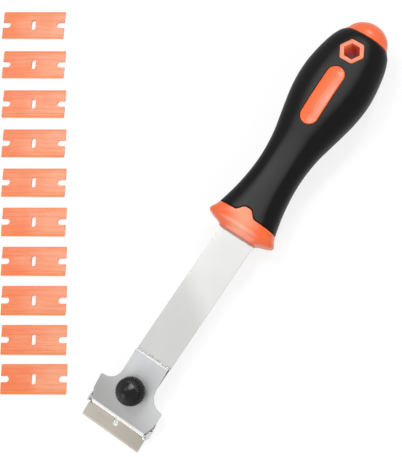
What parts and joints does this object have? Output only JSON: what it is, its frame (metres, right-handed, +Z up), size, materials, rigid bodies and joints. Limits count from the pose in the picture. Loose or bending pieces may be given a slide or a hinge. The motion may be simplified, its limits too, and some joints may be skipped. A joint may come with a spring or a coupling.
{
  "type": "razor blade scraper with loose plastic blades",
  "caption": "Long scraper: two-colour grip, flat steel shank, bent head whose cover plate and knurled knob clamp a razor blade; spare plastic blades lie beside it.",
  "frame": {"origin": "centre of the whole set's footprint, on the bench that it lies on", "axes": "+X from the butt of the handle to the blade, +Z up from the bench; the loose blades lie on the -Y side of the tool"},
  "size_m": [0.2936, 0.2266, 0.0324],
  "materials": {
    "orange_plastic": "moulded, satin gloss",
    "black_rubber": "soft matt",
    "plated_steel": "smooth bright plating",
    "zinc_steel": "bright zinc",
    "blade_steel": "oiled, ground edge",
    "black_plastic": "moulded, fluted side",
    "salmon_plastic": "moulded, satin"
  },
  "bodies": {
    "holder": {"handle_core": "orange_plastic", "rubber_grip": "black_rubber", "base_plate": "plated_steel", "nut": "zinc_steel", "razor_blade": "blade_steel", "blade_spine": "blade_steel"},
    "clamp_slide": {"washer": "zinc_steel"},
    "clamp_knob": {"knob": "black_plastic", "clamp_screw": "zinc_steel"},
    "cover": {"cover_plate": "plated_steel"},
    "loose_blades": {"plastic_blade_01": "salmon_plastic", "plastic_blade_02": "salmon_plastic", "plastic_blade_03": "salmon_plastic", "plastic_blade_04": "salmon_plastic", "plastic_blade_05": "salmon_plastic", "plastic_blade_06": "salmon_plastic", "plastic_blade_07": "salmon_plastic", "plastic_blade_08": "salmon_plastic", "plastic_blade_09": "salmon_plastic", "plastic_blade_10": "salmon_plastic"}
  },
  "joints": [
    {"name": "screw_travel", "type": "slide", "parent": "holder", "child": "clamp_slide", "axis": [0.2419, 0, 0.9703], "range_m": [0, 0.0024]},
    {"name": "knob_turn", "type": "hinge", "parent": "clamp_slide", "child": "clamp_knob", "pos_m": [0.10217, 0.09134, 0.01191], "axis": [0.2419, 0, 0.9703], "range_deg": [0, 1080]},
    {"name": "cover_tilt", "type": "hinge", "parent": "holder", "child": "cover", "pos_m": [0.08015, 0.09134, 0.01204], "axis": [0, -1, 0], "range_deg": [0, 4.6]},
    {"name": "loose_blades_lift", "type": "slide", "parent": "holder", "child": "loose_blades", "axis": [0, 0, 1], "range_m": [0, 0.06]}
  ],
  "couplings": [
    {"joint": "screw_travel", "follows": "knob_turn", "m_per_rad": 0.00012732},
    {"joint": "cover_tilt", "follows": "knob_turn", "ratio": 0.004259}
  ]
}
